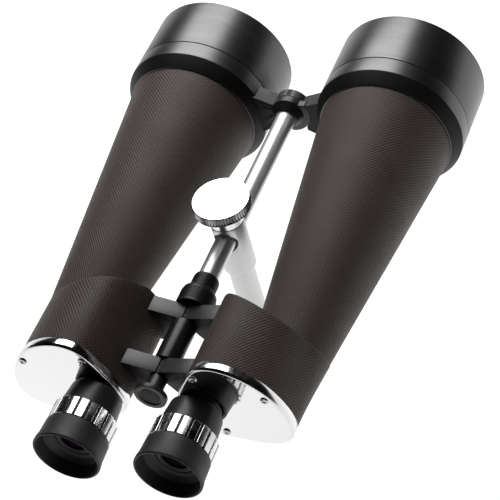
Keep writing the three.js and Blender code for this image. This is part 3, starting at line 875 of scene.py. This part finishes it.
def eyepiece(side):
    focus, cell, body = f"focus_{side}", f"cell_{side}", f"barrel_{side}"
    cup = turned(f"eyecup_fine_{side}", [
        (18.3, 18.8), (18.3, 14.2), (13.9, 14.2), (13.9, 12.9), (16.5, 12.4), (20.2, 9), (22.3, 0.8),
        (22.8, 0.1), (23.5, 0.1), (24.1, 0.9), (23.9, 3.5), (23.2, 7.5), (23.0, 13), (22.7, 18.8),
    ], RUBBER, EYEPIECE, side, 112, 0.6)
    use(cup, focus, "eyecup_rubber", f"eyecup_{side}")
    ring = turned(f"focus_ring_fine_{side}", [
        (13.8, 14.6), (18, 14.6), (18, 18.9), (21.5, 18.9), (21.5, 33.5), (20.6, 33.7), (20.5, 34.4),
        (19.5, 42), (18.6, 51.4), (18.0, 52.2), (16.4, 52.3), (16.4, 24), (13.8, 24),
    ], SATIN_BLACK, EYEPIECE, side, 112, 0.4)
    use(ring, focus, "ring_metal", f"focus_ring_{side}")
    use(focus_bars(side), focus, "chrome")
    base = turned(f"eyepiece_base_fine_{side}", [
        (14, 28.5), (16, 28.5), (16, 50), (15.8, 54.9), (8.5, 54.9), (8.5, 60), (7, 60), (7, 52.5), (14, 52.5),
    ], SATIN_BLACK, EYEPIECE, side, 112, 0.3)
    use(base, body, "matte_black", f"eyepiece_base_{side}")
    barrel_cell = turned(f"lens_cell_fine_{side}", [
        (9.9, 13.4), (11.6, 13.4), (12.2, 12.9), (13.4, 12.9), (13.4, 46), (10.9, 46), (10.9, 14.9),
        (9.9, 14.7),
    ], SATIN_BLACK, EYEPIECE, side, 96, 0.25)
    use(barrel_cell, cell, "matte_black", f"lens_cell_{side}")
    eye = lens(f"eye_lens_fine_{side}", 10.7, (15.2, -1.4), (18, 1.6), EYE_GLASS, EYEPIECE, side)
    use(eye, cell, "eyepiece_glass", f"eye_lens_{side}")


# ---------------------------------------------------------------- centre rod and bridge

def ribs(radius, start, end, count, depth=0.2):
    """The edge of a row of shallow rings cut round a turned piece."""
    pitch = (end - start) / count
    edge = []
    for number in range(count):
        y = start + pitch * number
        edge += [(radius, y), (radius, y + 0.6 * pitch), (radius - depth, y + 0.7 * pitch),
                 (radius - depth, y + 0.9 * pitch)]
    return edge


def bar(name, radius, start, end, material, segments):
    """A plain round bar along the rod's axis."""
    profile = [(0, start), (radius, start), (radius, end), (0, end)]
    return turned(name, profile, material, segments=segments)


def centre():
    """The rod, and what is fastened to it."""
    rod = bar("centre_rod_fine", 7.5, 152.5, 340.7, POLISHED, 96)
    use(rod, "rod", "polished_steel", "centre_rod")
    spacer = turned("hinge_spacer_fine", [(4.8, 86.9), (9, 86.9), (9, 121.7), (4.8, 121.7)], GLOSS_BLACK,
                    segments=96, fillet=0.6)
    use(spacer, "rod", "gloss_black", "hinge_spacer")
    collar = turned("rod_collar_fine", [
        (4.8, 135.2), (12.9, 135.2), (13.2, 135.6), *ribs(13.2, 137, 148.6, 8),
        (12.6, 150.6), (11.2, 152.2), (9.8, 152.9), *ribs(9.6, 153.6, 163.2, 7),
        (9.3, 164.6), (8.9, 165), (7.8, 165), (7.8, 152.2), (4.8, 152.2),
    ], RIBBED, segments=96, fillet=0.25)
    use(collar, "rod", "satin_black", "rod_collar")
    cap = turned("rear_cap_fine", [
        (0, 59.0), (8.1, 59.0), (8.4, 58.0), (11.8, 58.0), (11.8, 61.4), (6.4, 61.6), (6.2, 73.7),
        (4.8, 73.7), (4.8, 60.6), (0, 60.6),
    ], SATIN_BLACK, segments=96, fillet=0.45)
    use(cap, "rod", "satin_black", "rear_cap")
    inlay = turned("rear_cap_inlay", [
        (0, 58.75), (7.0, 58.75), (7.2, 59.0), (7.2, 59.3), (0, 59.3),
    ], MATTE_BLACK, segments=96, fillet=0.15)
    use(inlay, "rod", "satin_black")
    axle = bar("hinge_axle_fine", 4.5, 60.8, 151.9, POLISHED, 48)
    use(axle, "rod", "polished_steel", "hinge_axle")
    use(bridge_boss(), "rod", "black_paint", "bridge_boss")
    bolt = turned("bridge_bolt_fine", [
        (0, 341.3), (4.8, 341.3), (4.8, 351.8), (9.8, 351.8), (9.8, 354.3), (9.2, 355.1), (3.4, 355.1),
        (3.4, 352.6), (0, 352.6),
    ], SATIN_BLACK, segments=72, fillet=0.3)
    use(bolt, "rod", "matte_black", "bridge_bolt")


def arc(radius, start, end, steps):
    """Part of a circle about the rod, from one angle to another in degrees."""
    angles = [math.radians(start + (end - start) * i / steps) for i in range(steps + 1)]
    return [(radius * math.cos(a), radius * math.sin(a)) for a in angles]


def bridge_boss():
    """The boss on the rod's front end: a disc, wider at its lower right, and a cone behind it."""
    outline = arc(17.4, -88, 33, 40) + arc(13.3, 45, 255, 60)
    boss = prism("bridge_boss_fine", outline, BOSS_START, BOSS_END, BLACK_PAINT)
    hub = turned("hub", [(0, 332.6), (8.8, 332.6), (12.8, 339), (0, 339)], BLACK_PAINT, segments=72)
    combine(boss, hub, "UNION")
    soften(boss, 0.5)
    return boss


# ---------------------------------------------------------------- tripod post and clamp

BORE = 9.2          # radius of the hole through the post
BUSH_HALF = 8.5     # half the bush's length


def post_and_clamp():
    post = upright(turned("tripod_post_fine", [
        (6.3, SEAT_Z), (9.8, SEAT_Z), (9.8, -38), (12.35, -33), (12.35, 13), (4.6, 13), (4.6, 9), (0.0, 9),
        (0.0, -63.7), (6.3, -63.7),
    ], POST_METAL, segments=112, fillet=0.7))
    rear, front = POST_Y - 20, POST_Y + 20
    bore = turned("tool", [(0, rear), (BORE, rear), (BORE, front), (0, front)], BUSH, segments=96, fillet=0)
    combine(post, bore, "DIFFERENCE")
    soften(post, 0.3)
    use(post, "post", "post_metal", "tripod_post")
    rear, front = POST_Y - BUSH_HALF, POST_Y + BUSH_HALF
    bush = turned("rod_bush_fine", [(7.8, rear), (8.9, rear), (8.9, front), (7.8, front)], BUSH, segments=72,
                  fillet=0.3)
    use(bush, "bush", "bush_plastic", "rod_bush")
    use(clamp_knob(), "knob", "knob_metal", "clamp_knob")


KNURLS = 60
KNURL_DEPTH = 0.9
KNURL_BOTTOM, KNURL_TOP = 26.8, 33.8
STEPS_A_KNURL = 6
HEAD_RADIUS = 21.2


def clamp_knob():
    """Turned knob with a straight knurl round its head and a plain hub below; the knurled band takes a darker
    copy of the knob's metal, a painted shade.
    """
    shell = Shell()
    profile = rounded([
        (0, 13.4), (12.3, 13.4), (12.6, 13.8), (12.6, 26.4), (20.8, 26.4), (HEAD_RADIUS, KNURL_BOTTOM),
    ], 0.3, closed=False)
    knurl = [(HEAD_RADIUS, KNURL_BOTTOM + 0.1), (HEAD_RADIUS, KNURL_TOP - 0.1)]
    top = rounded([(HEAD_RADIUS, KNURL_TOP), (20.7, 34.2), (0, 34.2)], 0.3, closed=False)
    segments = KNURLS * STEPS_A_KNURL
    around = [2 * math.pi * 21 * MM * i / segments for i in range(segments + 1)]

    def loops(points, depth):
        made = []
        for radius, height in points:
            loop = []
            for i in range(segments):
                angle = 2 * math.pi * i / segments
                reach = radius - depth * (0.5 - 0.5 * math.cos(angle * KNURLS))
                loop.append((reach * math.cos(angle), height, reach * math.sin(angle)))
            made.append(loop)
        return made

    below, band, above = loops(profile, 0), loops(knurl, KNURL_DEPTH), loops(top, 0)
    shell.bands(below, around, [step * MM for step in lengths(profile)])
    # The knurled band takes the darker metal: painted shade.
    shell.bands([below[-1], *band, above[0]], around, [0, 0.0001, 0.0069, 0.007], slot=1)
    shell.bands(above, around, [step * MM for step in lengths(top)])
    return upright(shell.build("clamp_knob_fine", [KNOB_METAL, KNURL_SHADED_METAL]))


# ---------------------------------------------------------------- build

for each_side in SIDES:
    objective_end(each_side)
    bridge_lug(each_side)
    barrel(each_side)
    eyepiece(each_side)
centre()
post_and_clamp()

# Inner pieces keep the CAD's shape and take one of the materials above.
CARRIED_OVER = {
    "barrel_tube": MATTE_BLACK,
    "rear_prism": PRISM_GLASS,
    "front_prism": PRISM_GLASS,
    "prism_shelf": BLACK_PAINT,
    "field_lens": EYE_GLASS,
    "tripod_insert": BRASS,
    "clamp_shoe": BRASS,
    "clamp_screw": BLACK_PAINT,
}
for node_name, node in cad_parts.items():
    stem = node_name.replace("_left", "").replace("_right", "")
    if stem in CARRIED_OVER:
        node.data.materials.clear()
        node.data.materials.append(CARRIED_OVER[stem])

# ---------------------------------------------------------------- floor, light and camera

FLOOR_Z = -0.3
FLOOR_HALF = 40.0


def floor():
    """A pale table that glows a little, as a light table does."""
    nodes = Nodes("floor")
    nodes.set(Roughness=0.9, Emission_Color=(1, 1, 1, 1), Emission_Strength=0.88)
    tone = nodes.noise(nodes.solid(), 3.0, 2.0)
    nodes.colour(nodes.blend(tone, (0.5, 0.5, 0.5), (0.52, 0.52, 0.52)))
    mesh = bpy.data.meshes.new("floor")
    corners = [(-1, -1), (1, -1), (1, 1), (-1, 1)]
    mesh.from_pydata([(FLOOR_HALF * x, FLOOR_HALF * y, FLOOR_Z) for x, y in corners], [], [(0, 1, 2, 3)])
    mesh.materials.append(nodes.material)
    piece = bpy.data.objects.new("floor", mesh)
    bpy.context.scene.collection.objects.link(piece)


HORIZON_LIGHT, ROOM_LIGHT = 0.55, 0.03
HORIZON_FADE = (0.04, 0.22)      # heights between which the horizon's light fades to the room's


def softbox(name, position, target, width, height, power):
    light = bpy.data.lights.new(name, "AREA")
    light.shape = "RECTANGLE"
    light.size = width
    light.size_y = height
    light.energy = power
    lamp = bpy.data.objects.new(name, light)
    lamp.visible_camera = False
    lamp.location = position
    lamp.rotation_euler = (Vector(target) - Vector(position)).to_track_quat("-Z", "Y").to_euler()
    bpy.context.scene.collection.objects.link(lamp)


def studio():
    """A nearly dark room with a slightly paler horizon, lit by one large softbox.

    The softbox hangs above and in front of the objectives, so the photograph's side is lit from behind.
    """
    world = bpy.data.worlds.new("studio")
    world.use_nodes = True
    tree = world.node_tree
    height = tree.nodes.new("ShaderNodeSeparateXYZ")
    fade = tree.nodes.new("ShaderNodeMapRange")
    fade.interpolation_type = "SMOOTHSTEP"
    fade.inputs["From Min"].default_value, fade.inputs["From Max"].default_value = HORIZON_FADE
    fade.inputs["To Min"].default_value = HORIZON_LIGHT
    fade.inputs["To Max"].default_value = ROOM_LIGHT
    tree.links.new(tree.nodes.new("ShaderNodeTexCoord").outputs["Generated"], height.inputs[0])
    tree.links.new(height.outputs["Z"], fade.inputs["Value"])
    tree.links.new(fade.outputs[0], tree.nodes["Background"].inputs["Strength"])
    bpy.context.scene.world = world
    softbox("key", position=(-0.25, 0.6, 0.74), target=(-0.2, 0.35, 0), width=0.7, height=1.0, power=10)
    bpy.context.scene.view_settings.view_transform = "Standard"


CAMERA_DEGREES = (32.22, 44.58, -16.48)
CAMERA_DISTANCE = 1.2393
CAMERA_LENS = 125.7


def camera():
    """The photograph's viewing angle: azimuth from behind the eyepieces, elevation, and the camera's roll."""
    azimuth, elevation, roll = (math.radians(angle) for angle in CAMERA_DEGREES)
    target = Vector((0.0207, -0.0145, ROD_Z))
    forward = Vector((
        -math.sin(azimuth) * math.cos(elevation),
        math.cos(azimuth) * math.cos(elevation),
        -math.sin(elevation),
    ))
    level = Vector((math.cos(azimuth), math.sin(azimuth), 0))
    right = level * math.cos(roll) + level.cross(forward) * math.sin(roll)
    up = right.cross(forward)
    lens_data = bpy.data.cameras.new("camera")
    lens_data.sensor_width = 36
    lens_data.lens = CAMERA_LENS
    lens_data.clip_end = 50
    eye = bpy.data.objects.new("camera", lens_data)
    turned_to = Matrix((right, up, -forward)).transposed().to_4x4()
    eye.matrix_world = Matrix.Translation(target - forward * CAMERA_DISTANCE) @ turned_to
    bpy.context.scene.collection.objects.link(eye)
    bpy.context.scene.camera = eye


floor()
studio()
camera()
